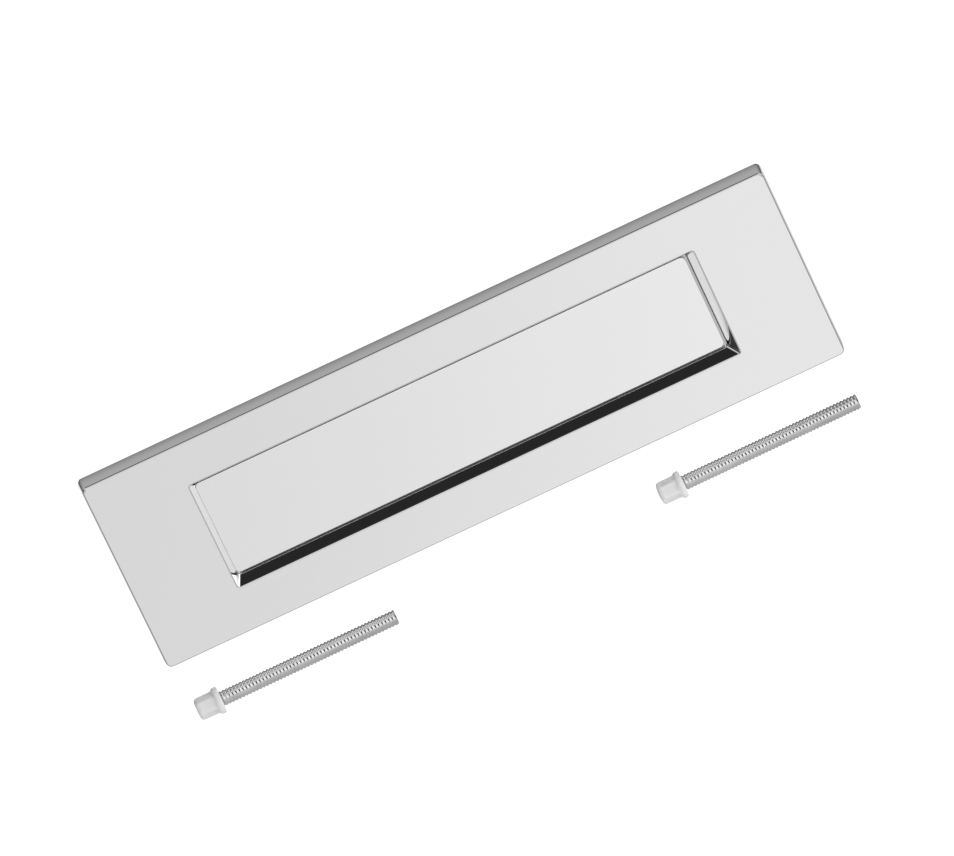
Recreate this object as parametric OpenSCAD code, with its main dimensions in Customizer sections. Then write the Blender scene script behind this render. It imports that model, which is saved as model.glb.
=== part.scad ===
// Letter plate with a sprung flap that opens inwards, and its loose fixing studs and nuts.
// X runs along the plate, Y goes into the door, Z is up. The back of the rim, which
// rests on the door, is at y = 0, and the front of the plate faces -Y.

/* [Plate] */
// Length of the plate
plate_w = 254; // [240:1:320]
// Height of the plate
plate_h = 76; // [72:1:95]
// Depth of the plate, from its front to the door
plate_t = 6.5; // [6:0.1:9]
// Radius of the plate's four corners
corner_r = 2; // [0.5:0.1:5]
// Thickness of the front wall
front_t = 2.8; // [2:0.1:3.4]
// Thickness of the rim round the back
rim_t = 2.5; // [1.5:0.1:4]

/* [Opening] */
// Clear length of the letter opening
opening_w = 182.3; // [140:0.1:190]
// Clear height of the letter opening
opening_h = 37.2; // [30:0.1:42]
// How far the bevel round the opening runs inwards
bevel_in = 2.6; // [1:0.1:3.5]
// How deep the bevel goes
bevel_deep = 3.8; // [2.5:0.1:4.2]
// Straight part behind the bevel
land_deep = 1.1; // [0.8:0.1:2]
// Thickness of the wall round the opening
frame_t = 3.9; // [3:0.1:5]

/* [Flap] */
// Gap above the flap's raised panel
flap_gap_top = 0.2; // [0.1:0.05:0.5]
// Gap below the flap's raised panel
flap_gap_bottom = 0.9; // [0.5:0.05:1.5]
// Gap at each end of the raised panel when it is central
flap_gap_side = 0.95; // [0.5:0.05:1.5]
// How far the flap has slid along its rod
flap_slide = -0.4; // [-0.4:0.1:0.4]
// Radius of the raised panel's corners
flap_corner_r = 1.8; // [0.5:0.1:4]
// How far the flange behind laps over the wall of the opening
flap_lap = 2.4; // [1.5:0.1:3]
// Thickness of the flange
flange_t = 1.2; // [0.8:0.1:2]
// Gap between the flange and the wall it closes on
close_gap = 0.1; // [0.05:0.05:0.3]

/* [Hinge] */
// Radius of the hinge rod
rod_r = 1.5; // [1.2:0.05:2]
// Play between the rod and the holes it sits in
rod_play = 0.05; // [0.02:0.01:0.1]
// Height of the rod above the flange's top edge
rod_above = 2; // [1.5:0.1:3]
// Wall of the flap's knuckles round the rod
knuckle_wall = 2.05; // [1.5:0.05:3]
// Length of each knuckle
knuckle_w = 6; // [4:0.5:10]
// Distance of each knuckle from the flange's end
knuckle_in = 4; // [3:0.5:12]
// Thickness of the plate's lugs
lug_t = 4; // [3:0.5:6]
// Wall of the lugs round the rod
lug_wall = 2.45; // [1.8:0.05:3]
// Thickness of the spring clips on the rod
clip_t = 0.6; // [0.4:0.05:1]
// Depth of the grooves that hold the clips
groove_deep = 0.4; // [0.2:0.05:0.5]

/* [Springs] */
// Radius of the spring wire
wire_r = 0.5; // [0.4:0.05:0.6]
// Play between the rod and the inside of the coil
coil_play = 0.4; // [0.2:0.05:0.6]
// Length of the coil
coil_w = 16; // [10:0.5:24]
// Height on the front wall where the fixed arm rests, above the rod
fixed_arm_up = 8; // [5:0.5:9]
// Distance below the rod where the moving arm rests on the flap
moving_arm_down = 15; // [10:0.5:25]
// Gap between a wire's end and what it rests on
wire_gap = 0.05; // [0.02:0.01:0.1]

/* [Fixings] */
// Distance of each tapped boss from the plate's end
boss_in = 16; // [14:0.5:20]
// How far the bosses stand past the back of the plate
boss_out = 4; // [2:0.5:8]
// Metal round the tapped holes
boss_wall = 3.25; // [2:0.05:5]
// Metal left in front of the tapped holes
boss_floor = 2; // [1.2:0.1:3]
// Outer radius of the studs' thread
stud_r = 2.7; // [2:0.05:3]
// Length of the studs
stud_len = 72; // [50:1:90]
// Pitch of the thread
pitch = 1.27; // [0.8:0.01:1.5]
// Depth of the thread
thread_deep = 0.75; // [0.4:0.05:0.8]
// Play between a stud and the hole it screws into
thread_play = 0.05; // [0.02:0.01:0.1]
// Thinnest part of the nut's wall
nut_wall = 0.75; // [0.6:0.05:2]
// Length of the nut's hexagon
nut_hex_len = 5.9; // [4:0.1:9]
// Length of the nut's flared collar
nut_collar_len = 3.1; // [1.5:0.1:5]
// How far the collar stands out past the hexagon's corners
nut_collar_out = 0.76; // [0.4:0.01:2]
// Depth of the nut's blind hole
nut_hole_len = 7; // [5:0.1:9]
// Length of stud inside the nut
nut_grip = 6.5; // [3:0.1:6.8]

/* [Where the loose fixings lie] */
// Height of the plate's bottom edge above the surface that the studs lie on
lie_drop = 17; // [14:0.5:25]
// Distance of the studs' nut ends in front of the plate
lie_front = 12.95; // [10:0.05:25]
// Position along the plate of the left nut's face
lie_left = -114.5; // [-125:0.5:-100]
// Position along the plate of the right nut's face
lie_right = 58; // [45:0.5:70]
// Turn of the studs away from the plate's length, in degrees
lie_turn = 4; // [0:0.5:8]

/* [Hidden] */
$fn = 64;

// The front face, the back of the front wall, the bottom of the bevel and the
// back of the wall round the opening
front_y = -plate_t;
wall_y = front_y + front_t;
bevel_y = front_y + bevel_deep;
frame_y = bevel_y + land_deep;

// The flap's flange and its raised panel
flange_y = frame_y + close_gap;
flap_back_y = flange_y + flange_t;
flange_w = opening_w + 2 * flap_lap + 0.9;
flange_h = opening_h + 2 * flap_lap;
panel_w = opening_w - 2 * flap_gap_side + 2 * abs(flap_slide);
panel_top = opening_h / 2 - flap_gap_top;
panel_bottom = -opening_h / 2 + flap_gap_bottom;

// The rod lies behind the wall of the opening, so that the knuckles clear it
knuckle_r = rod_r + knuckle_wall;
rod_y = frame_y + 0.25 + knuckle_r;
rod_z = flange_h / 2 + rod_above;
hole_r = rod_r + rod_play;

// The lugs stand just outside the wall of the opening
lug_in_x = opening_w / 2 + frame_t + 0.45;
lug_out_x = lug_in_x + lug_t;
lug_r = hole_r + lug_wall;
clip_x = lug_out_x + 0.15;
rod_end_x = clip_x + clip_t + 1.75;
groove_r = rod_r - groove_deep;

// The knuckles and the springs beside them
knuckle_x = flange_w / 2 - knuckle_in - knuckle_w;
ring_w = 2 * wire_r;
arm_x = knuckle_x - abs(flap_slide) - 0.8 - wire_r;
coil_x = arm_x - wire_r - 0.1 - coil_w;
coil_r = rod_r + coil_play + wire_r;

// Where the ends of each spring rest, as [y, z] from the rod's centre
fixed_end = [wall_y + wire_r + wire_gap - rod_y, fixed_arm_up];
moving_end = [flap_back_y + wire_r + wire_gap - rod_y, -moving_arm_down];

// The tapped bosses and the thread
screw_hole_r = stud_r + thread_play;
boss_x = plate_w / 2 - boss_in;
boss_r = screw_hole_r + boss_wall;
boss_hole_y = front_y + boss_floor;

// The nut, whose collar rests on the surface like the stud's far end
hex_r = (screw_hole_r + nut_wall) / cos(30);
collar_r = hex_r + nut_collar_out;
stud_free = stud_len - nut_grip;
lie_tilt = atan((collar_r - stud_r) / stud_free);
lie_y = front_y - lie_front;
lie_z = -plate_h / 2 - lie_drop + collar_r * cos(lie_tilt);

// A block between two x, two y and two z
module block(x, y, z)
    translate([x[0], y[0], z[0]]) cube([x[1] - x[0], y[1] - y[0], z[1] - z[0]]);

// A slab with four round corners, w by h, from one y to another
module slab(w, h, y, r) {
    block([-w / 2 + r, w / 2 - r], y, [-h / 2, h / 2]);
    block([-w / 2, w / 2], y, [-h / 2 + r, h / 2 - r]);
    for (sx = [-1, 1], sz = [-1, 1])
        translate([sx * (w / 2 - r), y[0], sz * (h / 2 - r)])
            rotate([-90, 0, 0]) cylinder(r = r, h = y[1] - y[0]);
}

// A cylinder along X between two x, round the point [y, z]
module bar(x, at, r)
    translate([x[0], at[0], at[1]]) rotate([0, 90, 0]) cylinder(r = r, h = x[1] - x[0]);

// An outline drawn in y and z, drawn out along X
module along_x(half, outline)
    rotate([90, 0, 90]) linear_extrude(height = 2 * half, center = true) polygon(outline);

// An outline drawn in x and y, drawn out along Z
module along_z(half, outline)
    linear_extrude(height = 2 * half, center = true) polygon(outline);

// Half an outline of the bevelled opening, mirrored to both sides
function flare(half) = let(slope = bevel_in / bevel_deep)
    [[half + bevel_in + slope, front_y - 1], [half, bevel_y], [half, frame_y + 1]];

// The letter opening, with its bevel on all four sides
module opening() {
    side = flare(opening_w / 2);
    top = flare(opening_h / 2);
    intersection() {
        along_z(plate_h / 2, concat(side, [for (i = [2:-1:0]) [-side[i][0], side[i][1]]]));
        along_x(plate_w / 2, concat([for (p = top) [p[1], p[0]]],
            [for (i = [2:-1:0]) [top[i][1], -top[i][0]]]));
    }
}

module faceplate() color("silver") difference() {
    union() {
        difference() {
            slab(plate_w, plate_h, [front_y, 0], corner_r);
            block([-plate_w / 2 + rim_t, plate_w / 2 - rim_t], [wall_y, 1],
                [-plate_h / 2 + rim_t, plate_h / 2 - rim_t]);
        }
        slab(opening_w + 2 * frame_t, opening_h + 2 * frame_t, [wall_y - 0.5, frame_y], 2);
        for (s = [-1, 1]) {
            translate([s * boss_x, wall_y - 0.5, 0])
                rotate([-90, 0, 0]) cylinder(r = boss_r, h = boss_out - wall_y + 0.5);
            lug_x = [s * (lug_in_x + lug_t / 2) - lug_t / 2, s * (lug_in_x + lug_t / 2) + lug_t / 2];
            block(lug_x, [wall_y - 0.5, rod_y], [rod_z - lug_r, rod_z + lug_r]);
            bar(lug_x, [rod_y, rod_z], lug_r);
        }
    }
    opening();
    bar([-rod_end_x, rod_end_x], [rod_y, rod_z], hole_r);
    for (s = [-1, 1])
        translate([s * boss_x, boss_hole_y, 0])
            rotate([-90, 0, 0]) cylinder(r = screw_hole_r, h = boss_out - boss_hole_y + 1);
}

module flap() color("gainsboro") translate([flap_slide, 0, 0]) difference() {
    union() {
        translate([0, 0, (panel_top + panel_bottom) / 2])
            slab(panel_w, panel_top - panel_bottom, [bevel_y, flange_y + 0.5], flap_corner_r);
        slab(flange_w, flange_h, [flange_y, flap_back_y], 2);
        for (s = [-1, 1]) {
            k = s * (knuckle_x + knuckle_w / 2);
            x = [k - knuckle_w / 2, k + knuckle_w / 2];
            bar(x, [rod_y, rod_z], knuckle_r);
            block(x, [flap_back_y - 0.5, rod_y], [rod_z - 2.6 * knuckle_r, rod_z]);
        }
    }
    bar([-plate_w, plate_w], [rod_y, rod_z], hole_r);
}

module hinge_rod() color("gray") difference() {
    bar([-rod_end_x, rod_end_x], [rod_y, rod_z], rod_r);
    for (s = [-1, 1]) {
        g = s * (clip_x + clip_t / 2);
        difference() {
            bar([g - clip_t / 2 - 0.05, g + clip_t / 2 + 0.05], [rod_y, rod_z], rod_r + 1);
            bar([g - 1, g + 1], [rod_y, rod_z], groove_r);
        }
    }
}

// A clip that is pushed over the groove from below
module rod_clip(s) color("dimgray") {
    x = [s * (clip_x + clip_t / 2) - clip_t / 2, s * (clip_x + clip_t / 2) + clip_t / 2];
    difference() {
        bar(x, [rod_y, rod_z], 2.2 * rod_r);
        bar([x[0] - 1, x[1] + 1], [rod_y, rod_z], groove_r + 0.02);
        block([x[0] - 1, x[1] + 1], [rod_y - 0.75 * groove_r, rod_y + 0.75 * groove_r],
            [rod_z - 3 * rod_r, rod_z]);
    }
}

// The side view of the coil's wires lying against each other, as [radius, x]
function wires(n, p) = [for (i = [0:n - 1], a = [-60:30:60])
    [coil_r + wire_r * cos(a), (i + 0.5) * p + 0.5 * p * sin(a) / sin(60)]];

// Turns of wire side by side along X, from x
module turns(x, w) {
    n = max(1, round(w / ring_w));
    translate([x, rod_y, rod_z]) rotate([0, 90, 0]) rotate_extrude()
        polygon(concat([[coil_r - wire_r, 0]], wires(n, w / n), [[coil_r - wire_r, w]]));
}

// A straight wire that leaves the coil along its edge and has a round end at a point
module arm(x, end) {
    start_angle = atan2(end[1], end[0]) + (end[1] > 0 ? -1 : 1) * acos(coil_r / norm(end));
    start = coil_r * [cos(start_angle), sin(start_angle)];
    run = end - start;
    translate([x, rod_y + start[0], rod_z + start[1]])
        rotate([atan2(run[1], run[0]) - 90, 0, 0]) {
            cylinder(r = wire_r, h = norm(run));
            translate([0, 0, norm(run)]) sphere(r = wire_r);
        }
}

module spring_coil(s) color("darkgray") {
    turns(s > 0 ? coil_x : -coil_x - coil_w, coil_w);
    arm(s * (coil_x + wire_r), fixed_end);
}

module spring_arm(s) color("slategray") {
    turns(s * arm_x - wire_r, ring_w);
    arm(s * arm_x, moving_end);
}

// The outline of a thread as [radius, height], with a small chamfer at each end
function ridges(n, h0) = [for (i = [0:n - 1]) each
    [[stud_r - thread_deep, h0 + i * pitch], [stud_r - thread_deep, h0 + (i + 0.12) * pitch],
     [stud_r, h0 + (i + 0.44) * pitch], [stud_r, h0 + (i + 0.68) * pitch]]];

// A nut's face and its stud, with the stud's free end towards +X
module lie(x) translate([x, lie_y, lie_z]) rotate([0, lie_tilt, lie_turn]) children();

module stud(x) color("lightsteelblue") lie(x) {
    n = floor((stud_len - 1) / pitch);
    h0 = (stud_len - n * pitch) / 2;
    translate([-nut_grip, 0, 0]) rotate([0, 90, 0]) rotate_extrude()
        polygon(concat([[0, 0], [stud_r - thread_deep, 0]], ridges(n, h0),
            [[stud_r - thread_deep, stud_len], [0, stud_len]]));
}

module nut(x) color("whitesmoke") lie(x) rotate([0, -90, 0]) difference() {
    union() {
        cylinder(r1 = collar_r, r2 = hex_r - 0.2, h = nut_collar_len);
        intersection() {
            cylinder(r = hex_r, h = nut_hex_len + nut_collar_len, $fn = 6);
            cylinder(r1 = hex_r + nut_hex_len, r2 = hex_r - 0.9,
                h = nut_hex_len + nut_collar_len);
        }
    }
    translate([0, 0, -1]) cylinder(r = screw_hole_r, h = nut_hole_len + 1);
}

faceplate();
flap();
hinge_rod();
spring_coil(-1);  // left_spring_coil
spring_arm(-1);  // left_spring_arm
spring_coil(1);  // right_spring_coil
spring_arm(1);  // right_spring_arm
rod_clip(-1);  // left_rod_clip
rod_clip(1);  // right_rod_clip
stud(lie_left);  // left_stud
stud(lie_right);  // right_stud
nut(lie_left);  // left_nut
nut(lie_right);  // right_nut
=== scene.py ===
# %% [markdown]
# # A letter plate, built in Blender round its CAD frame
#
# The object is the metal plate that covers a letter slot in a front door. It has a long
# polished face, a bevelled opening closed by a sprung flap, and two threaded studs with
# white cap nuts, which lie loose in front of it. The CAD model already has every part at
# its true size. This lesson keeps that frame and replaces the parts that show with
# finer ones.

# %% Load the frame
import math

import bmesh
import bpy
from mathutils import Matrix, Quaternion, Vector


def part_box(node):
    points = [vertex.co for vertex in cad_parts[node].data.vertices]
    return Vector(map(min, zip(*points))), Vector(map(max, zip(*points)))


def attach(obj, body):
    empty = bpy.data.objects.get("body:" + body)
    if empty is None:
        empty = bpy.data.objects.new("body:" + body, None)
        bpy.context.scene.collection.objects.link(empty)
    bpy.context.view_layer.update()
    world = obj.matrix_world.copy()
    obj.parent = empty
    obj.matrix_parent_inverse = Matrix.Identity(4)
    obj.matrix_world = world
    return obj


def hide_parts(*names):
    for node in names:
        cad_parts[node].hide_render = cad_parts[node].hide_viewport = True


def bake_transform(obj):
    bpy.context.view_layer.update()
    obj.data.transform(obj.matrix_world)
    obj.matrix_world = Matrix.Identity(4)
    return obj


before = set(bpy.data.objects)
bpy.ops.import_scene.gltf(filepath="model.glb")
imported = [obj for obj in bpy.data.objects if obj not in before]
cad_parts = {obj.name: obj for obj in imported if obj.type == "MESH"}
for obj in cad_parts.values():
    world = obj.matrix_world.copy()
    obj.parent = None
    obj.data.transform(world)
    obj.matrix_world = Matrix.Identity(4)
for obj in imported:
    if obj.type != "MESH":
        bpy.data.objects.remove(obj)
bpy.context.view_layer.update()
MM = 0.001

# %% [markdown]
# ## Sizes
#
# Everything is in metres, with X along the plate, Y into the door and Z up. The back of
# the plate's rim is at y = 0. Where a size can be read from the frame it is, and the
# other values are written once here, in millimetres.
#
# The opening narrows from its front edge to the flap, and the two outlines aren't quite
# concentric: a cast opening that is dressed and polished by hand never is. NEAR and LOOSE
# are the tolerances with which later cells pick out points by their place, and END_X is
# where the two ends of the opening begin.

# %% Read the sizes
plate_lo, plate_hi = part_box("faceplate")
PLATE_W = plate_hi.x - plate_lo.x
PLATE_H = plate_hi.z - plate_lo.z
FRONT_Y = plate_lo.y
FLOOR_Z = min(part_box(n)[0].z for n in ("left_nut", "right_nut", "left_stud", "right_stud"))
rod_lo, rod_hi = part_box("hinge_rod")
ROD = Vector((0, (rod_lo.y + rod_hi.y) / 2, (rod_lo.z + rod_hi.z) / 2))

FRONT_T = 2.8 * MM
RIM_T = 2.5 * MM
OPENING = (182.9 * MM, 37.8 * MM)
OPENING_FRONT = (187.8 * MM, 42.75 * MM)
OPENING_X = -0.05 * MM
OPENING_FRONT_X = 0.5 * MM
OPENING_Z = 0.3 * MM
OPENING_FRONT_Z = 0.0
BEVEL_DEEP = 3.8 * MM
LAND_DEEP = 1.1 * MM
FRAME_T = 3.9 * MM
WALL_Y = FRONT_Y + FRONT_T
BEVEL_Y = FRONT_Y + BEVEL_DEEP
FRAME_Y = BEVEL_Y + LAND_DEEP

NEAR = 0.01 * MM
LOOSE = 0.2 * MM
END_X = 85 * MM
print(f"plate {PLATE_W / MM:.0f} x {PLATE_H / MM:.0f} mm")
print(f"rod centre at y = {ROD.y / MM:.2f}, z = {ROD.z / MM:.2f} mm")

# %% [markdown]
# ## Helpers
#
# A few small helpers serve every piece. One turns a finished bmesh into an object with
# its place in the frame. Two pick edges or faces by a test on their points, and round
# them or give them a finish. The last two grow a rectangular ring of edges to a new size
# and depth, which is how a cast plate can be drawn out as one closed skin.

# %% Make an object from a bmesh
def finish_piece(bm, name, material, body, replaced, sharp=40):
    """Makes the object, with its finish and its body, and hides the nodes that it stands for."""
    bmesh.ops.recalc_face_normals(bm, faces=bm.faces[:])
    mesh = bpy.data.meshes.new(name)
    bm.to_mesh(mesh)
    bm.free()
    for finish in material if isinstance(material, list) else [material]:
        mesh.materials.append(finish)
    mesh.shade_smooth()
    mesh.set_sharp_from_angle(angle=math.radians(sharp))
    piece = bpy.data.objects.new(name, mesh)
    bpy.context.scene.collection.objects.link(piece)
    if body:
        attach(piece, body)
    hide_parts(*replaced)
    print(f"{name}: {len(mesh.polygons)} faces")
    return piece


def keep_faces_flat(piece):
    """Large faces keep their own direction, so that a mirror finish isn't bent."""
    weigh = piece.modifiers.new("flat faces", "WEIGHTED_NORMAL")
    weigh.weight = 100
    weigh.keep_sharp = True


# %% Round or finish what passes a test
SHARP = math.radians(15)


def round_edges(bm, wanted, radius, segments=3, finish=0):
    """Rounds each edge that isn't flat and whose end points a, b pass wanted(a, b)."""
    bmesh.ops.recalc_face_normals(bm, faces=bm.faces[:])
    edges = [e for e in bm.edges if wanted(e.verts[0].co, e.verts[1].co)
             and e.calc_face_angle(0) > SHARP]
    made = bmesh.ops.bevel(bm, geom=edges, offset=radius, segments=segments, profile=0.5,
                           affect="EDGES", material=-1, clamp_overlap=True)
    for face in made["faces"]:
        face.material_index = finish
    return len(edges)


def give_finish(bm, wanted, finish):
    """Gives a finish to every face whose corners all pass the test."""
    for face in bm.faces:
        if all(wanted(v.co) for v in face.verts):
            face.material_index = finish


def both(test):
    """Makes a test of two points from a test of one."""
    return lambda a, b: test(a) and test(b)


# %% Draw a plate out of rectangular rings
def linked_edges(verts):
    """The edges at these points, each once and always in the same order."""
    return list(dict.fromkeys(e for v in verts for e in v.link_edges))


def first_ring(bm, w, h, y, x=0.0, z=0.0):
    """A rectangle of four edges facing Y, w by h, with its centre at x, y, z."""
    place = (Matrix.Translation((x, y, z)) @ Matrix.Rotation(math.pi / 2, 4, "X")
             @ Matrix.Diagonal((w, h, 1, 1)))
    made = bmesh.ops.create_grid(bm, x_segments=1, y_segments=1, size=0.5, matrix=place)
    faces = list(dict.fromkeys(f for v in made["verts"] for f in v.link_faces))
    return faces, linked_edges(made["verts"]), (w, h, y, x, z)


def next_ring(bm, edges, old, w, h, y, x=0.0, z=0.0):
    """Pulls the ring out to a new rectangle and joins the two with four faces."""
    made = bmesh.ops.extrude_edge_only(bm, edges=edges)["geom"]
    verts = [g for g in made if isinstance(g, bmesh.types.BMVert)]
    centre = Matrix.Translation((-old[3], -old[2], -old[4]))
    bmesh.ops.scale(bm, vec=(w / old[0], 1, h / old[1]), space=centre, verts=verts)
    bmesh.ops.translate(bm, vec=(x - old[3], y - old[2], z - old[4]), verts=verts)
    return [g for g in made if isinstance(g, bmesh.types.BMEdge)], (w, h, y, x, z)


# %% [markdown]
# ## Finishes
#
# The plate and flap have bright chrome plating. A real one is polished by hand before it
# is plated, so it has a very slight unevenness in its gloss and a faint waviness. One
# even value would look like a computer's mirror, so two soft noises feed the roughness
# and the bump.
#
# The plating isn't the same all over. The edges get a duller chrome whose darker tone is painted
# shade, the narrow gap round the flap gets a rough chrome whose still darker tone is painted shade
# too, and the back is left as cast. The flap's chrome is a little lighter than the plate's, which
# is painted light. So the plate and flap carry four finishes each, and every face has one of them.

# %% Nodes that every metal uses
def new_material(name):
    """An empty material and its main shader."""
    material = bpy.data.materials.new(name)
    material.use_nodes = True
    nodes = material.node_tree.nodes
    return material, nodes, material.node_tree.links, nodes["Principled BSDF"]


def soft_noise(nodes, links, scale, detail=2.0, stretch=(1, 1, 1)):
    """Noise that is fixed to the object."""
    coords = nodes.new("ShaderNodeTexCoord")
    mapping = nodes.new("ShaderNodeMapping")
    mapping.inputs["Scale"].default_value = stretch
    noise = nodes.new("ShaderNodeTexNoise")
    noise.inputs["Scale"].default_value = scale
    noise.inputs["Detail"].default_value = detail
    links.new(coords.outputs["Object"], mapping.inputs["Vector"])
    links.new(mapping.outputs["Vector"], noise.inputs["Vector"])
    return noise


def vary(nodes, links, source, low, high, target):
    """Spreads a noise between two values on a shader's socket."""
    spread = nodes.new("ShaderNodeMapRange")
    spread.inputs["From Min"].default_value = 0.3
    spread.inputs["From Max"].default_value = 0.7
    spread.inputs["To Min"].default_value = low
    spread.inputs["To Max"].default_value = high
    links.new(source.outputs["Fac"], spread.inputs["Value"])
    links.new(spread.outputs["Result"], target)


def raise_surface(nodes, links, source, shader, height, strength):
    """Turns a noise into a small relief."""
    bump = nodes.new("ShaderNodeBump")
    bump.inputs["Strength"].default_value = strength
    bump.inputs["Distance"].default_value = height
    links.new(source.outputs["Fac"], bump.inputs["Height"])
    links.new(bump.outputs["Normal"], shader.inputs["Normal"])


# %% Polished chrome
def chrome_plating(name, tone, rough):
    """A mirror of an even grey tone, with faint smears and waves."""
    material, nodes, links, shader = new_material(name)
    shader.inputs["Base Color"].default_value = (tone, tone, tone, 1)
    shader.inputs["Metallic"].default_value = 1.0
    smears = soft_noise(nodes, links, 28, 3, (1, 1, 2.5))
    vary(nodes, links, smears, *rough, shader.inputs["Roughness"])
    waves = soft_noise(nodes, links, 60, 1)
    raise_surface(nodes, links, waves, shader, 0.00002, 0.04)
    return material


# %% Cast and drawn metal
def plain_steel(name, dark, light, rough, grain=(1, 1, 1), scale=900, relief=0.25):
    """A metal whose tone, gloss and relief all follow one noise, stretched by grain."""
    material, nodes, links, shader = new_material(name)
    shader.inputs["Metallic"].default_value = 1.0
    cloud = soft_noise(nodes, links, scale, 4, grain)
    tone = nodes.new("ShaderNodeValToRGB")
    tone.color_ramp.elements[0].position = 0.3
    tone.color_ramp.elements[0].color = dark
    tone.color_ramp.elements[1].position = 0.7
    tone.color_ramp.elements[1].color = light
    links.new(cloud.outputs["Fac"], tone.inputs["Fac"])
    links.new(tone.outputs["Color"], shader.inputs["Base Color"])
    vary(nodes, links, cloud, rough[0], rough[1], shader.inputs["Roughness"])
    raise_surface(nodes, links, cloud, shader, 0.00002, relief)
    return material


# %% The finishes of the plate and the flap
chrome = chrome_plating("polished_chrome", 0.94, (0.015, 0.04))
# The flap's chrome is a lighter copy of the plate's, painted light that makes the flap mirror
# brighter than the face.
flap_plating_painted_brighter = chrome_plating("flap_plating_painted_brighter", 0.98, (0.015, 0.035))
# The edge and recess chromes are darker copies of the plate's chrome: their dark tones are painted
# shade, for the dark lines along the edges and in the gap.
shaded_edge_plating = chrome_plating("painted_shade_edge_plating", 0.56, (0.08, 0.14))
shaded_recess_plating = chrome_plating("painted_shade_recess_plating", 0.42, (0.26, 0.4))
cast_back = plain_steel("satin_cast_back", (0.68, 0.68, 0.68, 1), (0.78, 0.78, 0.78, 1),
                        (0.3, 0.44), (1, 1, 1), 500, 0.3)
PLATING = [chrome, shaded_edge_plating, shaded_recess_plating, cast_back]
CHROME, SHADED_EDGE, SHADED_RECESS, BACK = range(len(PLATING))
print("made", ", ".join(m.name for m in PLATING))

# %% [markdown]
# The studs are zinc plated. Zinc is duller and a little cloudy, with small differences in
# tone from turn to turn, so its colour and its roughness both follow a fine noise. The
# rod is drawn wire, so its noise is stretched along it.

# %% Zinc plating and bare steel
zinc = plain_steel("bright_zinc", (0.6, 0.6, 0.6, 1), (0.7, 0.7, 0.7, 1),
                   (0.06, 0.12), (1, 1, 1), 300, 0.04)
drawn_steel = plain_steel("drawn_steel", (0.42, 0.42, 0.43, 1), (0.6, 0.6, 0.61, 1),
                          (0.2, 0.34), (0.04, 1, 1), 1500)
spring_steel = plain_steel("wound_spring_steel", (0.36, 0.36, 0.38, 1), (0.5, 0.5, 0.52, 1),
                           (0.22, 0.38))
print("made", zinc.name, drawn_steel.name, spring_steel.name)

# %% [markdown]
# The nuts are moulded in natural nylon, which is milky: light goes in, scatters and comes
# out again. Subsurface scattering does that, and it softens the edges of the hexagon as
# it does on the real ones.

# %% White nylon
def milky_nylon():
    """Pale nylon that lets light in a millimetre or so."""
    material, nodes, links, shader = new_material("milky_nylon")
    cloud = soft_noise(nodes, links, 350, 2)
    tone = nodes.new("ShaderNodeValToRGB")
    tone.color_ramp.elements[0].position = 0.3
    tone.color_ramp.elements[0].color = (0.93, 0.93, 0.92, 1)
    tone.color_ramp.elements[1].position = 0.7
    tone.color_ramp.elements[1].color = (0.97, 0.97, 0.96, 1)
    links.new(cloud.outputs["Fac"], tone.inputs["Fac"])
    links.new(tone.outputs["Color"], shader.inputs["Base Color"])
    vary(nodes, links, cloud, 0.32, 0.46, shader.inputs["Roughness"])
    raise_surface(nodes, links, cloud, shader, 0.00003, 0.3)
    shader.inputs["Subsurface Weight"].default_value = 0.6
    shader.inputs["Subsurface Radius"].default_value = (1.0, 1.0, 1.0)
    shader.inputs["Subsurface Scale"].default_value = 0.0015
    return material


nylon = milky_nylon()
print("made", nylon.name)

# %% [markdown]
# ## The plate
#
# The real plate is one casting: a thin front wall with a rim that stands up behind it and
# a bevelled opening. It could be cut from a block with booleans, but they leave long thin
# faces that spoil a mirror finish. Here one ring of four edges is pulled from the front
# edge, into the opening, round the back and out to the rim, and is then joined to itself,
# so the plate is one clean closed skin.
#
# A casting needs draft, or it would stick in its mould, so the sides lean in by DRAFT
# from the rim to the face. Polishing turns that slope into a slight curve, which four
# more rings follow, and takes a little more off the top than off the bottom.

# %% Pull the plate's skin
DRAFT = 0.5 * MM
FACE_Z = -0.45 * MM
HOLE = (OPENING_X, OPENING_Z)

plate = bmesh.new()
front_faces, front_edges, size = first_ring(plate, PLATE_W - 2 * DRAFT, PLATE_H - 2 * DRAFT,
                                            FRONT_Y, 0, FACE_Z)
bmesh.ops.delete(plate, geom=front_faces, context="FACES_ONLY")
edges = front_edges
for w, h, y, centre in [
    (*OPENING_FRONT, FRONT_Y, (OPENING_FRONT_X, OPENING_FRONT_Z)),
    (OPENING[0], OPENING[1], BEVEL_Y, HOLE),
    (OPENING[0], OPENING[1], FRAME_Y, HOLE),
    (OPENING[0] + 2 * FRAME_T, OPENING[1] + 2 * FRAME_T, FRAME_Y, HOLE),
    (OPENING[0] + 2 * FRAME_T, OPENING[1] + 2 * FRAME_T, WALL_Y, HOLE),
    (PLATE_W - 2 * RIM_T, PLATE_H - 2 * RIM_T, WALL_Y, (0, 0)),
    (PLATE_W - 2 * RIM_T, PLATE_H - 2 * RIM_T, 0, (0, 0)),
    (PLATE_W, PLATE_H, 0, (0, 0)),
]:
    edges, size = next_ring(plate, edges, size, w, h, y, *centre)
for share in (0.8, 0.6, 0.4, 0.2):
    lean = (1 - share) ** 2
    edges, size = next_ring(plate, edges, size, PLATE_W - 2 * DRAFT * lean,
                            PLATE_H - 2 * DRAFT * lean, FRONT_Y * (1 - share), 0, FACE_Z * lean)
bmesh.ops.bridge_loops(plate, edges=edges + front_edges)
print("the plate's skin has", len(plate.faces), "faces before rounding")

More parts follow.
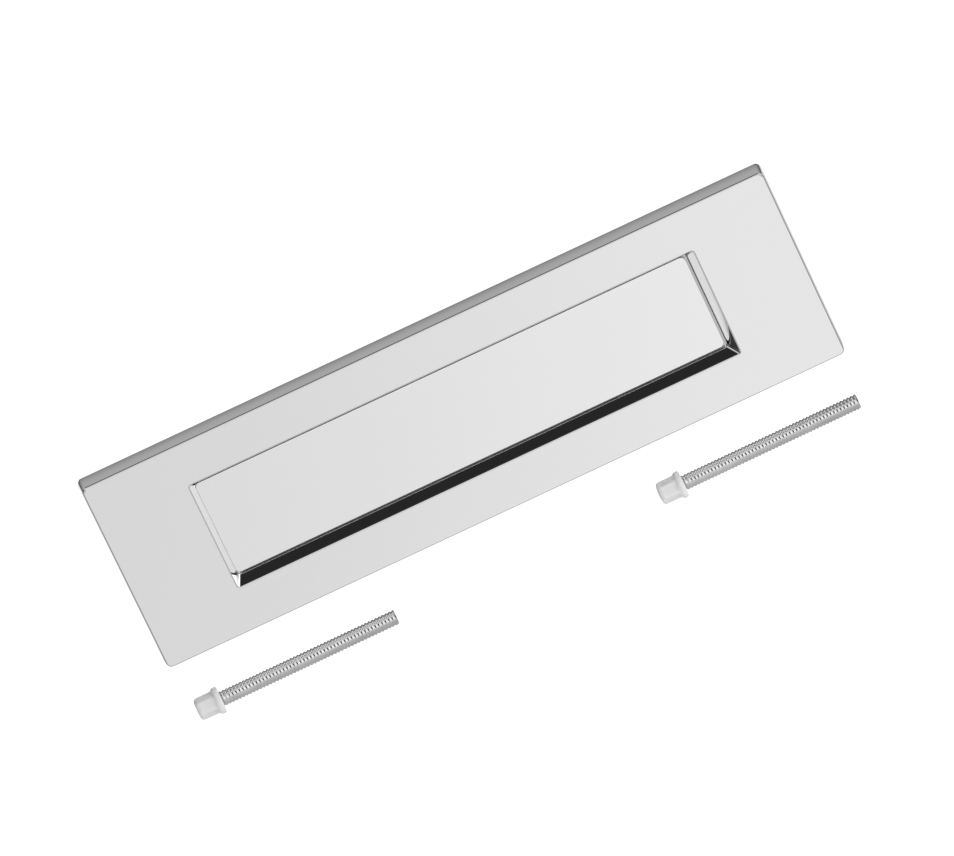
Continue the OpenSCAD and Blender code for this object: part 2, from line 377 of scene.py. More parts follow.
# %% [markdown]
# The plate's four corners are rounded first, then the mitres in the opening's corners, and then
# the front edge all the way round, which gives the plate its thin shaded outline; that rounding
# takes the edge chrome, whose darker tone is painted shade. The arrises of the opening are
# polished but still crisp, so their radius is tiny, and they take the same painted shade. Each
# test below picks its edges by where their two ends are.

# %% Tests for places on the plate
OUT_X, OUT_Z = PLATE_W / 2 - 1 * MM, PLATE_H / 2 - 1 * MM
RIM_BAND = 3 * MM
MITRE_BAND = 4 * MM


def outside(p):
    """On the plate's outline."""
    return abs(p.x) > OUT_X or abs(p.z) > OUT_Z


def corner(p):
    """On one of the plate's four corners."""
    return abs(p.x) > OUT_X and abs(p.z) > OUT_Z


def front_outline(p):
    """On the outline of the front face."""
    return p.y < FRONT_Y + NEAR and (abs(p.x) > PLATE_W / 2 - RIM_BAND
                                     or abs(p.z) > PLATE_H / 2 - RIM_BAND)


def front_opening(p):
    """Where the opening meets the front face."""
    return (p.y < FRONT_Y + NEAR and abs(p.z) < OPENING_FRONT[1] / 2 + 1 * MM
            and abs(p.x) < OPENING_FRONT[0] / 2 + 2 * MM)


def mitre(p):
    """In a corner of the opening, on any depth of it."""
    return (abs(abs(p.x) - OPENING[0] / 2) < MITRE_BAND
            and abs(abs(p.z) - OPENING[1] / 2) < MITRE_BAND and p.y < FRAME_Y + NEAR)


def deep_bottom(p):
    """Where the bottom bevel meets the land in which the flap sits."""
    return abs(p.y - BEVEL_Y) < LOOSE and p.z < OPENING_Z - OPENING[1] / 2 + 0.05 * MM


def runs_back(a, b):
    """True of an edge that goes in from the front, and not along it."""
    return abs(a.y - b.y) > 1 * MM


# %% Round the plate's edges
CORNER_R = 2 * MM
MITRE_R = 0.9 * MM
EDGE_R = 0.4 * MM
ARRIS_R = 0.3 * MM
BACK_R = 0.2 * MM

corners = round_edges(plate, lambda a, b: corner(a) and corner(b) and runs_back(a, b), CORNER_R, 8)
mitres = round_edges(plate, lambda a, b: mitre(a) and mitre(b) and runs_back(a, b), MITRE_R, 5)
# The front outline and the opening's arrises get the edge chrome, whose darker tone is painted
# shade.
front = round_edges(plate, both(front_outline), EDGE_R, 4, SHADED_EDGE)
back = round_edges(plate, both(lambda p: p.y > -NEAR and outside(p)), BACK_R, 2)
arris = round_edges(plate, both(front_opening), ARRIS_R, 3, SHADED_EDGE)
deep = round_edges(plate, both(deep_bottom), ARRIS_R, 3)
print("rounded", corners + mitres, "corners and", front + back + arris + deep, "edges")

# %% [markdown]
# The land behind the bevel is the gap round the flap. It gets the dark recess chrome, which is
# painted shade, except at its two ends, which keep the bright chrome. One mitre, at the bottom
# right, gets the darker edge chrome, which is painted shade too.

# %% Give the opening its finishes
def on_land(p):
    """On the land in which the flap sits."""
    return BEVEL_Y - LOOSE < p.y < FRAME_Y + NEAR and abs(p.z) < OPENING_FRONT[1] / 2


def right_mitre(p):
    """On the mitre at the bottom right."""
    return (END_X < p.x < 96 * MM and -24 * MM < p.z < -15 * MM
            and FRONT_Y + 0.05 * MM < p.y < BEVEL_Y + LOOSE)


# Painted shade: the dark recess chrome on the land, the bright chrome back on its two ends, and
# the darker edge chrome on the bottom right mitre.
give_finish(plate, lambda p: on_land(p) and abs(p.x) < OPENING_FRONT[0] / 2, SHADED_RECESS)
for side in (-1, 1):
    give_finish(plate, lambda p: on_land(p) and END_X < side * p.x < 94 * MM, CHROME)
give_finish(plate, right_mitre, SHADED_EDGE)
print("faces of each finish:", [sum(f.material_index == k for f in plate.faces) for k in range(4)])

# %% [markdown]
# Behind the front wall stand two lugs for the hinge rod. Each is a ring round the rod's
# hole, with the half nearest the wall squared off and drawn down to it. Squaring a circle
# means dividing each point's offset by the larger of its two parts.

# %% Hinge lugs and knuckles
HOLE_R = 1.55 * MM


def eye(bm, x, width, hole_r, outer_r, reshape, rounding=0.3 * MM):
    """A ring round the rod from x to x + width, whose outline reshape() may change."""
    place = Matrix.Translation((x, ROD.y, ROD.z)) @ Matrix.Rotation(math.pi / 2, 4, "Y")
    made = bmesh.ops.create_circle(bm, segments=40, radius=hole_r, matrix=place)
    edges = linked_edges(made["verts"])
    out = bmesh.ops.extrude_edge_only(bm, edges=edges)["geom"]
    rim = [g for g in out if isinstance(g, bmesh.types.BMVert)]
    sheet = [g for g in out if isinstance(g, bmesh.types.BMFace)]
    bmesh.ops.scale(bm, vec=(1, outer_r / hole_r, outer_r / hole_r),
                    space=Matrix.Translation((0, -ROD.y, -ROD.z)), verts=rim)
    for v in rim:
        v.co.y, v.co.z = reshape(v.co.y - ROD.y, v.co.z - ROD.z)
    top = bmesh.ops.extrude_face_region(bm, geom=sheet, use_keep_orig=True)["geom"]
    lifted = [g for g in top if isinstance(g, bmesh.types.BMVert)]
    bmesh.ops.translate(bm, vec=(width, 0, 0), verts=lifted)
    outer = set(rim) | {v for v in lifted if (v.co.yz - ROD.yz).length > 1.2 * hole_r}
    edges = [e for e in bm.edges if e.verts[0] in outer and e.verts[1] in outer
             and abs(e.verts[0].co.x - e.verts[1].co.x) < 1e-6]
    bmesh.ops.bevel(bm, geom=edges, offset=rounding, segments=2, profile=0.5,
                    affect="EDGES", material=-1, clamp_overlap=True)


def square_to(y_foot):
    """An outline that is round away from the wall and square towards it."""
    def reshape(dy, dz):
        if dy >= -1e-6:
            return ROD.y + dy, ROD.z + dz
        r = math.hypot(dy, dz)
        big = max(abs(dy), abs(dz))
        dy, dz = dy * r / big, dz * r / big
        return ROD.y + dy * (ROD.y - y_foot) / r, ROD.z + dz
    return reshape


LUG_IN = OPENING[0] / 2 + FRAME_T + 0.45 * MM
LUG_T = 4 * MM
LUG_R = HOLE_R + 2.45 * MM
for x in (LUG_IN, -LUG_IN - LUG_T):
    eye(plate, x, LUG_T, HOLE_R, LUG_R, square_to(WALL_Y - 0.1 * MM))
print("two lugs at x =", round(LUG_IN / MM, 2), "mm")

# %% [markdown]
# The two bosses that take the studs are turned shapes, so a profile of a few points is
# spun once round. Their threads are rings, because the eye can't follow a spiral that far
# down a hole.

# %% Tapped bosses
def turned(bm, profile, centre, axis, steps=48):
    """Spins a profile of [radius, distance along the axis] once round."""
    side = Vector((0, 0, 1))
    axis = Vector(axis)
    points = [bm.verts.new(Vector(centre) + side * r + axis * d) for r, d in profile]
    edges = [bm.edges.new(pair) for pair in zip(points, points[1:])]
    bmesh.ops.spin(bm, geom=points + edges, cent=centre, axis=axis, dvec=(0, 0, 0),
                   angle=2 * math.pi, steps=steps, use_merge=True)
    bmesh.ops.remove_doubles(bm, verts=[v for v in bm.verts if (v.co - Vector(centre)).length
                                        < 12 * MM], dist=1e-7)


BOSS_X = PLATE_W / 2 - 16 * MM
BOSS_OUT = 4 * MM
SCREW_R = 2.75 * MM
PITCH = 1.27 * MM
for side in (-1, 1):
    wall = [(0, WALL_Y - 0.2 * MM), (7.2 * MM, WALL_Y - 0.2 * MM), (7.0 * MM, WALL_Y + 0.02 * MM),
            (6.35 * MM, WALL_Y + 0.3 * MM), (6.05 * MM, WALL_Y + 1.0 * MM),
            (6.0 * MM, BOSS_OUT - 0.4 * MM), (5.6 * MM, BOSS_OUT),
            (SCREW_R + 0.5 * MM, BOSS_OUT), (SCREW_R, BOSS_OUT - 0.5 * MM)]
    for turn in range(5):
        d = BOSS_OUT - 0.7 * MM - turn * PITCH
        wall += [(SCREW_R, d), (SCREW_R - 0.55 * MM, d - 0.5 * MM),
                 (SCREW_R - 0.55 * MM, d - 0.62 * MM), (SCREW_R, d - 1.1 * MM)]
    wall += [(SCREW_R - 0.5 * MM, WALL_Y + 0.05 * MM), (0, WALL_Y + 0.05 * MM)]
    turned(plate, wall, (side * BOSS_X, 0, 0), (0, 1, 0))
print("two bosses at x =", round(BOSS_X / MM, 1), "mm")

# %% [markdown]
# Everything that faces the door keeps the satin of the casting: the back of the wall,
# the lugs, the bosses and the back edge of the rim.

# %% Finish the plate
def behind(p):
    """On a part that faces the door."""
    inside = (abs(p.x) < PLATE_W / 2 - RIM_T + 0.05 * MM
              and abs(p.z) < PLATE_H / 2 - RIM_T + 0.05 * MM)
    in_opening = (abs(p.x - OPENING_X) < OPENING[0] / 2 + 0.5 * MM
                  and abs(p.z - OPENING_Z) < OPENING[1] / 2 + 0.5 * MM
                  and p.y < FRAME_Y - 0.05 * MM)
    return inside and p.y > WALL_Y - 0.3 * MM and not in_opening


give_finish(plate, behind, BACK)
give_finish(plate, lambda p: p.y > -0.25 * MM, BACK)
plate_piece = finish_piece(plate, "letter_plate", PLATING, "plate",
                           ["faceplate"], 50)
keep_faces_flat(plate_piece)

# %% [markdown]
# ## The flap
#
# The flap is a raised panel that nearly fills the opening, on a wider flange that closes
# against the back of the opening's wall. It is pulled out of rings like the plate, and a
# low rib round its back stiffens it. It hangs a little to one side, as far as its play
# on the rod lets it.

# %% Pull the flap's skin
SLIDE = -0.4 * MM
PANEL_TOP = OPENING_Z + OPENING[1] / 2 - 0.12 * MM
PANEL_BOTTOM = OPENING_Z - OPENING[1] / 2 + 0.65 * MM
PANEL = (182.05 * MM, PANEL_TOP - PANEL_BOTTOM)
PANEL_X = -0.055 * MM
PANEL_Z = (PANEL_TOP + PANEL_BOTTOM) / 2
FLANGE_Y = FRAME_Y + 0.1 * MM
FLAP_BACK = FLANGE_Y + 1.2 * MM
FLANGE = (188 * MM, 42 * MM)

flap = bmesh.new()
_, edges, size = first_ring(flap, PANEL[0], PANEL[1], BEVEL_Y, PANEL_X, PANEL_Z)
for w, h, y, centre in [
    (PANEL[0], PANEL[1], FLANGE_Y, (PANEL_X, PANEL_Z)),
    (FLANGE[0], FLANGE[1], FLANGE_Y, (0, 0)),
    (FLANGE[0], FLANGE[1], FLAP_BACK, (0, 0)),
    (FLANGE[0] - 2.4 * MM, FLANGE[1] - 2.4 * MM, FLAP_BACK, (0, 0)),
    (FLANGE[0] - 3.0 * MM, FLANGE[1] - 3.0 * MM, FLAP_BACK + 0.6 * MM, (0, 0)),
    (FLANGE[0] - 5.4 * MM, FLANGE[1] - 5.4 * MM, FLAP_BACK + 0.6 * MM, (0, 0)),
    (FLANGE[0] - 6.0 * MM, FLANGE[1] - 6.0 * MM, FLAP_BACK, (0, 0)),
]:
    edges, size = next_ring(flap, edges, size, w, h, y, *centre)
bmesh.ops.holes_fill(flap, edges=edges, sides=4)
print("the flap's skin has", len(flap.faces), "faces before rounding")

# %% Round the flap's edges and give it its finishes
PANEL_CORNER_R = 1.8 * MM
PANEL_EDGE_R = 0.25 * MM
FLANGE_CORNER_R = 1.5 * MM


def at_corner(p, size, x=0.0, z=0.0):
    """On a corner of the rectangle of this size, centred at x, z."""
    return abs(abs(p.x - x) - size[0] / 2) < NEAR and abs(abs(p.z - z) - size[1] / 2) < NEAR


def panel_corner(p):
    return at_corner(p, PANEL, PANEL_X, PANEL_Z) and p.y < FLANGE_Y + NEAR


def panel_front(p):
    """On the panel's front outline, apart from its left end, which is left crisp."""
    return abs(p.y - BEVEL_Y) < NEAR and p.x > PANEL_X - PANEL[0] / 2 + NEAR


def panel_side(p):
    """On the walls of the raised panel."""
    return BEVEL_Y - NEAR < p.y < FLANGE_Y + NEAR


def deepens(a, b):
    """True of an edge that joins two depths."""
    return abs(a.y - b.y) > 0.1 * MM


rounded = round_edges(flap, lambda a, b: panel_corner(a) and panel_corner(b) and deepens(a, b),
                      PANEL_CORNER_R, 8)
rounded += round_edges(flap, both(panel_front), PANEL_EDGE_R, 3)
# Painted shade: the panel's walls get the dark recess chrome, except at the ends, where the left
# end keeps the bright chrome and the right end gets the darker edge chrome; the flange's front
# gets the edge chrome too.
give_finish(flap, panel_side, SHADED_RECESS)
for side, finish in ((-1, CHROME), (1, SHADED_EDGE)):
    give_finish(flap, lambda p: panel_side(p) and side * p.x > END_X, finish)
give_finish(flap, lambda p: abs(p.y - BEVEL_Y) < NEAR, CHROME)
give_finish(flap, lambda p: abs(p.y - FLANGE_Y) < NEAR, SHADED_EDGE)
rounded += round_edges(flap, lambda a, b: deepens(a, b) and at_corner(a, FLANGE)
                       and at_corner(b, FLANGE), FLANGE_CORNER_R, 4)
print("rounded", rounded, "edges of the flap")

# %% [markdown]
# Two knuckles on the flap's back turn on the rod. Each is the same kind of eye as the
# lugs, but its lower half is drawn down the flap as a tapering foot.

# %% Flap knuckles
KNUCKLE_R = 3.55 * MM
KNUCKLE_W = 6 * MM
KNUCKLE_IN = FLANGE[0] / 2 - 10 * MM


def foot(dy, dz):
    """Draws the lower half of an eye down the flap, thinner towards its end."""
    if dz >= -1e-6:
        return ROD.y + dy, ROD.z + dz
    r = math.hypot(dy, dz)
    big = max(abs(dy), abs(dz))
    dy, dz = dy * r / big, dz * r / big
    down = -dz / r
    low_y = FLAP_BACK - 0.3 * MM + (dy / r + 1) / 2 * 0.9 * MM
    return (1 - down) * (ROD.y + dy) + down * low_y, ROD.z + dz * 2.5


for x in (KNUCKLE_IN, -KNUCKLE_IN - KNUCKLE_W):
    eye(flap, x, KNUCKLE_W, HOLE_R, KNUCKLE_R, foot)
give_finish(flap, lambda p: p.y > FLAP_BACK - 0.31 * MM, BACK)
bmesh.ops.translate(flap, vec=(SLIDE, 0, 0), verts=flap.verts[:])
# The flap's face takes the lighter flap chrome, which is painted light.
flap_piece = finish_piece(flap, "flap_panel", [flap_plating_painted_brighter] + PLATING[1:], "flap",
                          ["flap"], 50)
keep_faces_flat(flap_piece)

# %% [markdown]
# ## The studs
#
# A stud's thread is a true spiral. The neat way to make one is to spin the thread's
# profile once round while it moves on by one pitch: each turn then meets the next, and
# the doubled points are merged. Cutting it off square at both ends closes it.

# %% Spin a thread
STUD_R = 2.7 * MM
ROOT_R = STUD_R - 0.34 * MM
ROLL = 0.04 * MM
STUD_LEN = 72 * MM
NUT_GRIP = 6.5 * MM


def threaded_rod(steps=40):
    """A stud along X, with the mouth of its nut at x = 0 and small chamfers at its ends."""
    bm = bmesh.new()
    turns = int(STUD_LEN / PITCH) + 3
    profile = [(h * PITCH, r) for i in range(turns) for h, r in
               ((i, ROOT_R), (i + 0.15, ROOT_R + ROLL), (i + 0.35, STUD_R - ROLL),
                (i + 0.5, STUD_R), (i + 0.65, STUD_R - ROLL), (i + 0.85, ROOT_R + ROLL))]
    points = [bm.verts.new((x - NUT_GRIP - 2 * PITCH, 0, r)) for x, r in profile]
    rail = [bm.edges.new(pair) for pair in zip(points, points[1:])]
    bmesh.ops.spin(bm, geom=points + rail, cent=(0, 0, 0), axis=(1, 0, 0),
                   dvec=(PITCH / steps, 0, 0), angle=2 * math.pi, steps=steps, use_merge=False)
    bmesh.ops.remove_doubles(bm, verts=bm.verts[:], dist=2e-6)
    for x, away in ((-NUT_GRIP, -1), (STUD_LEN - NUT_GRIP, 1)):
        bmesh.ops.bisect_plane(bm, geom=bm.verts[:] + bm.edges[:] + bm.faces[:], dist=1e-7,
                               plane_co=(x, 0, 0), plane_no=(away, 0, 0), clear_outer=True)
        rim = [e for e in bm.edges if e.is_boundary and abs(e.verts[0].co.x - x) < 1e-6]
        bmesh.ops.holes_fill(bm, edges=rim, sides=0)
    for v in bm.verts:
        end = min(v.co.x + NUT_GRIP, STUD_LEN - NUT_GRIP - v.co.x)
        r = math.hypot(v.co.y, v.co.z)
        most = ROOT_R + max(end, 0) + 0.1 * MM
        if r > most:
            v.co.y, v.co.z = v.co.y * most / r, v.co.z * most / r
    return bm


# %% [markdown]
# Each stud lies on the surface with its nut's collar at one end and its own tip at the
# other, so it slopes a little. The slope follows from the two radii.

# %% Lay the studs down
COLLAR_R = 3.5 * MM / math.cos(math.pi / 6) + 0.76 * MM
TILT = math.atan((COLLAR_R - STUD_R) / (STUD_LEN - NUT_GRIP))
TURN = math.radians(4)
LIE_Y = FRONT_Y - 12.95 * MM
LIE_Z = FLOOR_Z + COLLAR_R * math.cos(TILT)


def lie_at(x):
    """The place of a stud and its nut, with the nut's mouth at x."""
    return (Matrix.Translation((x, LIE_Y, LIE_Z)) @ Matrix.Rotation(TURN, 4, "Z")
            @ Matrix.Rotation(TILT, 4, "Y"))


LIE_X = {"left": -114.5 * MM, "right": 58 * MM}
for name, x in LIE_X.items():
    stud = threaded_rod()
    bmesh.ops.transform(stud, matrix=lie_at(x), verts=stud.verts[:])
    finish_piece(stud, f"{name}_stud_thread", zinc, f"{name}_stud",
                 [f"{name}_stud"], 60)

# %% [markdown]
# ## The cap nuts
#
# Each nut is moulded in one piece: a hexagon that flares into a round collar. Both are
# drawn from one ring of points. A ring on the hexagon has its points at the hexagon's
# own distance for their angle, and a ring on the collar is round, so the flare between
# them comes by itself.
#
# The table lists the rings from the mouth to the closed end: the distance along the nut
# in millimetres, the radius, and how far the ring is a hexagon, from 0 to 1.

# %% The rings of a nut
HEX_FLAT = 3.5 * MM
HEX_CORNER = 4.0 * MM
HEX_TURN = math.radians(-26)
NUT_SIDES = 72
NUT_RINGS = [
    (0, SCREW_R + 0.35 * MM, 0), (0, COLLAR_R - 0.4 * MM, 0), (-0.08, COLLAR_R - 0.16 * MM, 0),
    (-0.3, COLLAR_R - 0.02 * MM, 0), (-0.6, COLLAR_R, 0), (-1.5, COLLAR_R - 0.03 * MM, 0),
    (-1.8, COLLAR_R - 0.14 * MM, 0), (-2.05, COLLAR_R - 0.36 * MM, 0.1),
    (-2.3, 4.22 * MM, 0.35), (-2.7, 4.06 * MM, 0.75), (-3.2, 4.02 * MM, 1),
    (-3.8, HEX_CORNER, 1), (-7.5, HEX_CORNER, 1), (-8.1, 3.9 * MM, 0.95),
    (-8.55, 3.66 * MM, 0.8), (-8.85, 3.25 * MM, 0.6), (-9, 2.7 * MM, 0.4),
]
BORE_RINGS = [(-0.35, SCREW_R, 0), (-7, SCREW_R, 0), (-7.6, 1.2 * MM, 0)]
print("a nut has", len(NUT_RINGS), "rings outside and", len(BORE_RINGS), "in its hole")

# %% Shape the nuts
def hexagon(angle, flat, corner):
    """Distance to the outline of a hexagon with blunt corners."""
    within = (angle - HEX_TURN + math.pi / 6) % (math.pi / 3) - math.pi / 6
    return min(flat / math.cos(within), corner)


def draw_rings(bm, edges, rings):
    """Pulls an open edge through the rings and closes it at the last one."""
    for x, r, six in rings:
        out = bmesh.ops.extrude_edge_only(bm, edges=edges)["geom"]
        edges = [g for g in out if isinstance(g, bmesh.types.BMEdge)]
        for v in (g for g in out if isinstance(g, bmesh.types.BMVert)):
            angle = math.atan2(v.co.z, v.co.y)
            flat = hexagon(angle, HEX_FLAT * min(1, r / HEX_CORNER), r)
            reach = (1 - six) * r + six * flat
            v.co = (x * MM, reach * math.cos(angle), reach * math.sin(angle))
    bmesh.ops.holes_fill(bm, edges=edges, sides=0)


def cap_nut():
    """A nut along X with its mouth at x = 0: the outside, then the hole."""
    bm = bmesh.new()
    made = bmesh.ops.create_circle(bm, segments=NUT_SIDES, radius=NUT_RINGS[0][1],
                                   matrix=Matrix.Rotation(math.pi / 2, 4, "Y"))
    mouth = linked_edges(made["verts"])
    draw_rings(bm, mouth, NUT_RINGS[1:])
    draw_rings(bm, mouth, BORE_RINGS)
    return bm


for name, x in LIE_X.items():
    nut = cap_nut()
    bmesh.ops.transform(nut, matrix=lie_at(x), verts=nut.verts[:])
    finish_piece(nut, f"{name}_cap_nut", nylon, f"{name}_nut", [f"{name}_nut"], 45)

# %% [markdown]
# ## The hinge springs
#
# A spring is one wire: a straight arm, a coil round the rod and a second arm. In the
# frame it is two nodes, because one arm stays with the plate and the other goes with the
# flap. Here the wire's round section is spun round the rod while it moves along, and each
# end is pulled out straight.

# %% Wind the springs
WIRE_R = 0.5 * MM
COIL_R = 1.5 * MM + 0.4 * MM + WIRE_R
FIXED_END = Vector((WALL_Y + WIRE_R + 0.05 * MM - ROD.y, 8 * MM))
MOVING_END = Vector((FLAP_BACK + WIRE_R + 0.05 * MM - ROD.y, -15 * MM))


def leaves_at(end, way):
    """The angle on the coil where a straight wire to this end leaves it."""
    return math.atan2(end.y, end.x) + way * math.acos(COIL_R / end.length)


def pull_wire(bm, edges, start_angle, x, end):
    """Pulls an open end of the wire straight out to its end point and rounds it off."""
    run = end - COIL_R * Vector((math.cos(start_angle), math.sin(start_angle)))
    for share, size in ((1.0, 1.0), (0.025, 0.8), (0.012, 0.45)):
        out = bmesh.ops.extrude_edge_only(bm, edges=edges)["geom"]
        verts = [g for g in out if isinstance(g, bmesh.types.BMVert)]
        edges = [g for g in out if isinstance(g, bmesh.types.BMEdge)]
        bmesh.ops.translate(bm, vec=(0, run.x * share, run.y * share), verts=verts)
        middle = sum((v.co for v in verts), Vector()) / len(verts)
        bmesh.ops.scale(bm, vec=(size,) * 3, space=Matrix.Translation(-middle), verts=verts)
    bmesh.ops.holes_fill(bm, edges=edges, sides=0)


def hinge_spring(x_fixed, x_moving):
    """A spring round the rod, from its fixed arm to the arm that the flap moves."""
    bm = bmesh.new()
    first = leaves_at(FIXED_END, -1)
    last = leaves_at(MOVING_END, 1)
    turns = round(abs(x_moving - x_fixed) / (2.1 * WIRE_R))
    sweep = last - first - 2 * math.pi * turns
    steps = 20 * turns
    across = Matrix.Rotation(first - math.pi / 2, 4, "X")
    place = (Matrix.Translation((x_fixed, ROD.y, ROD.z)) @ across
             @ Matrix.Translation((0, 0, COIL_R)) @ Matrix.Rotation(math.pi / 2, 4, "X"))
    made = bmesh.ops.create_circle(bm, segments=12, radius=WIRE_R, matrix=place)
    start = linked_edges(made["verts"])
    ring = bmesh.ops.spin(bm, geom=made["verts"] + start, cent=(x_fixed, ROD.y, ROD.z),
                          axis=(1, 0, 0), dvec=((x_moving - x_fixed) / steps, 0, 0),
                          angle=sweep, steps=steps, use_merge=False)["geom_last"]
    end = [g for g in ring if isinstance(g, bmesh.types.BMEdge)]
    pull_wire(bm, start, first, x_fixed, FIXED_END)
    pull_wire(bm, end, last, x_moving, MOVING_END)
    return bm


for name, side in (("left", -1), ("right", 1)):
    coil_lo, coil_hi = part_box(f"{name}_spring_coil")
    arm_lo, arm_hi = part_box(f"{name}_spring_arm")
    inner = (coil_lo.x if side > 0 else coil_hi.x) + side * WIRE_R
    outer = (arm_lo.x + arm_hi.x) / 2
    spring = hinge_spring(inner, outer)
    piece = finish_piece(spring, f"{name}_hinge_spring", spring_steel, None,
                         [f"{name}_spring_coil", f"{name}_spring_arm"], 60)
    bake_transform(piece)

# %% [markdown]
# ## The rod and its clips
#
# The rod and the clips have the right shape in the frame already, so they only get their
# metal.

# %% Finish the frame's own parts
for node, metal in (("hinge_rod", drawn_steel), ("left_rod_clip", spring_steel),
                    ("right_rod_clip", spring_steel)):
    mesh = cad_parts[node].data
    mesh.materials.clear()
    mesh.materials.append(metal)
    print(node, "has", metal.name)

# %% [markdown]
# ## Floor, light and camera
#
# Polished metal shows only what is round it, so lighting it means choosing what it
# mirrors. The face looks down at the floor, so the floor is a pale sheet that is a little
# brighter than white. The plate's top edge looks at a grey backdrop, and the lower bevel
# looks straight up, where it is dark, which draws the black line under the flap.
#
# A floor as bright as that would wash out every edge, so what the metal mirrors is a
# dimmer floor than what the camera sees. A Light Path node tells the two apart, as a
# studio would with a card that stands just outside the view.

# %% Nodes for the surroundings
def step_between(nodes, links, source, low, high, start=0.0, end=1.0):
    """A soft step from start to end as the source goes from low to high."""
    step = nodes.new("ShaderNodeMapRange")
    step.interpolation_type = "SMOOTHSTEP"
    step.inputs["From Min"].default_value = low
    step.inputs["From Max"].default_value = high
    step.inputs["To Min"].default_value = start
    step.inputs["To Max"].default_value = end
    links.new(source, step.inputs["Value"])
    return step.outputs["Result"]


def blend_value(nodes, links, factor, a, b):
    """Mixes two values or sockets by a factor."""
    mix = nodes.new("ShaderNodeMix")
    links.new(factor, mix.inputs["Factor"])
    for socket, value in ((mix.inputs["A"], a), (mix.inputs["B"], b)):
        if isinstance(value, (int, float)):
            socket.default_value = value
        else:
            links.new(value, socket)
    return mix.outputs["Result"]


def compute(nodes, links, operation, *sources):
    """One step of arithmetic on sockets."""
    step = nodes.new("ShaderNodeMath")
    step.operation = operation
    for socket, source in zip(step.inputs, sources):
        links.new(source, socket)
    return step.outputs["Value"]


# %% A floor that glows
SEEN = 1.1
POOL = (0.62, 0.735)
POOL_X = 0.13
POOL_REACH = PLATE_W / 2 + 8 * MM
POOL_EDGE = 0.03
UNDER_Y = (-0.036, -0.012)
SHADE = 0.4
BEHIND_Y = (0.02, 0.06)
BEHIND = 0.6


def glowing_floor():
    """The floor's glow: a pool in front of the plate, dim beside and under it."""
    material, nodes, links, shader = new_material("pale_floor")
    shader.inputs["Base Color"].default_value = (0.2, 0.2, 0.2, 1)
    shader.inputs["Roughness"].default_value = 0.9
    shader.inputs["Specular IOR Level"].default_value = 0.0
    shader.inputs["Emission Color"].default_value = (1, 1, 1, 1)
    where = nodes.new("ShaderNodeTexCoord")
    parts = nodes.new("ShaderNodeSeparateXYZ")
    links.new(where.outputs["Object"], parts.inputs["Vector"])
    pool = step_between(nodes, links, parts.outputs["X"], -POOL_X, POOL_X, *POOL)
    beside = step_between(nodes, links, compute(nodes, links, "ABSOLUTE", parts.outputs["X"]),
                          POOL_REACH, POOL_REACH + POOL_EDGE)
    under = step_between(nodes, links, parts.outputs["Y"], *UNDER_Y)
    dim = compute(nodes, links, "MAXIMUM", beside, under)
    near = blend_value(nodes, links, dim, pool, SHADE)
    past = step_between(nodes, links, parts.outputs["Y"], *BEHIND_Y)
    mirrored = blend_value(nodes, links, past, near, BEHIND)
    path = nodes.new("ShaderNodeLightPath")
    seen = blend_value(nodes, links, path.outputs["Is Camera Ray"], mirrored, SEEN)
    links.new(seen, shader.inputs["Emission Strength"])
    return material


# %% Lay the floor
FLOOR_REACH = 4
ground = bmesh.new()
bmesh.ops.create_grid(ground, x_segments=1, y_segments=1, size=FLOOR_REACH,
                      matrix=Matrix.Translation((0, 0, FLOOR_Z)))
floor_mesh = bpy.data.meshes.new("floor")
ground.to_mesh(floor_mesh)
ground.free()
floor_mesh.materials.append(glowing_floor())
floor = bpy.data.objects.new("floor", floor_mesh)
bpy.context.scene.collection.objects.link(floor)
print("floor at z =", round(FLOOR_Z / MM, 1), "mm")

# %% [markdown]
# The room is one world shader, whose brightness depends only on the direction in which a
# ray leaves. X tells left from right, Y front from back and Z how high. In front it is
# dark low on the left and bright on the right, so that the two ends of the opening
# differ, and the backdrop and the ceiling are dark.

# %% Surroundings
FRONT_RIGHT = 1.25
FRONT_LEFT = (0.04, 1.1)
FRONT_MIDDLE = (1.35, 0.4)
BACKDROP = (0.24, 0.40)
BACK_LOW = 0.1
BACK_HIGH = 0.08
CEILING = 0.02


def from_x(low, high):
    return step_between(nodes, links, parts.outputs["X"], low, high)


def from_z(low, high, start=0.0, end=1.0):
    return step_between(nodes, links, parts.outputs["Z"], low, high, start, end)


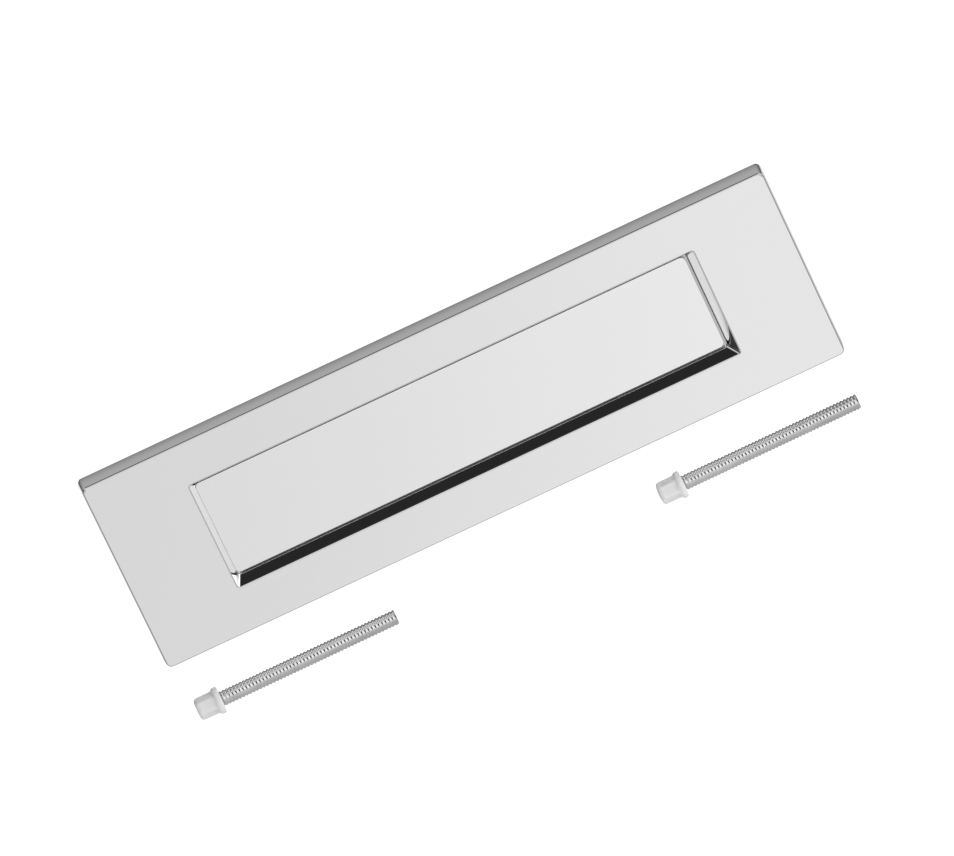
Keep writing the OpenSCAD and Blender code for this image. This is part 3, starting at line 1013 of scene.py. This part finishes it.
world = bpy.data.worlds.new("studio")
bpy.context.scene.world = world
world.use_nodes = True
nodes, links = world.node_tree.nodes, world.node_tree.links
where = nodes.new("ShaderNodeTexCoord")
parts = nodes.new("ShaderNodeSeparateXYZ")
links.new(where.outputs["Generated"], parts.inputs["Vector"])

middle = from_z(0.50, 0.72, *FRONT_MIDDLE)
left = from_z(0.45, 0.65, *FRONT_LEFT)
to_right = from_x(0.28, 0.5)
to_middle = from_x(-0.5, -0.28)
left_half = blend_value(nodes, links, to_middle, left, middle)
front = blend_value(nodes, links, to_right, left_half, FRONT_RIGHT)
wall = from_z(0.40, 0.80, *BACKDROP)
wall = blend_value(nodes, links, from_z(0.28, 0.40), BACK_LOW, wall)
back = blend_value(nodes, links, from_z(0.85, 0.93), wall, BACK_HIGH)
to_back = step_between(nodes, links, parts.outputs["Y"], -0.15, 0.15)
walls = blend_value(nodes, links, to_back, front, back)
studio = blend_value(nodes, links, from_z(0.88, 0.965), walls, CEILING)
links.new(studio, nodes["Background"].inputs["Color"])
print("studio light set")

# %% [markdown]
# The camera stands far away with a long lens, so the plate's long edges stay almost
# parallel, and it is rolled, which sets the plate at a slant in the picture.

# %% Camera
ELEVATION = math.radians(26.299)
AZIMUTH = math.radians(-1.147)
LENS_ROLL = math.radians(-25.555)
DISTANCE = 5.40600
AIM = Vector((2.81, -3.11, -6.40)) * MM
SENSOR = 36
FOCAL_SHARE = 16000 / 954

look = Vector((math.sin(AZIMUTH) * math.cos(ELEVATION), math.cos(AZIMUTH) * math.cos(ELEVATION),
               -math.sin(ELEVATION)))
camera_data = bpy.data.cameras.new("camera")
camera = bpy.data.objects.new("camera", camera_data)
bpy.context.scene.collection.objects.link(camera)
camera_data.sensor_width = SENSOR
camera_data.lens = FOCAL_SHARE * SENSOR
camera_data.clip_start = 0.5
camera_data.clip_end = 60
camera.rotation_mode = "QUATERNION"
camera.location = AIM - look * DISTANCE
camera.rotation_quaternion = look.to_track_quat("-Z", "Y") @ Quaternion((0, 0, 1), LENS_ROLL)
bpy.context.scene.camera = camera
bpy.context.scene.view_settings.view_transform = "Standard"
print("camera", round(DISTANCE, 2), "m away with a lens of", round(camera_data.lens), "mm")
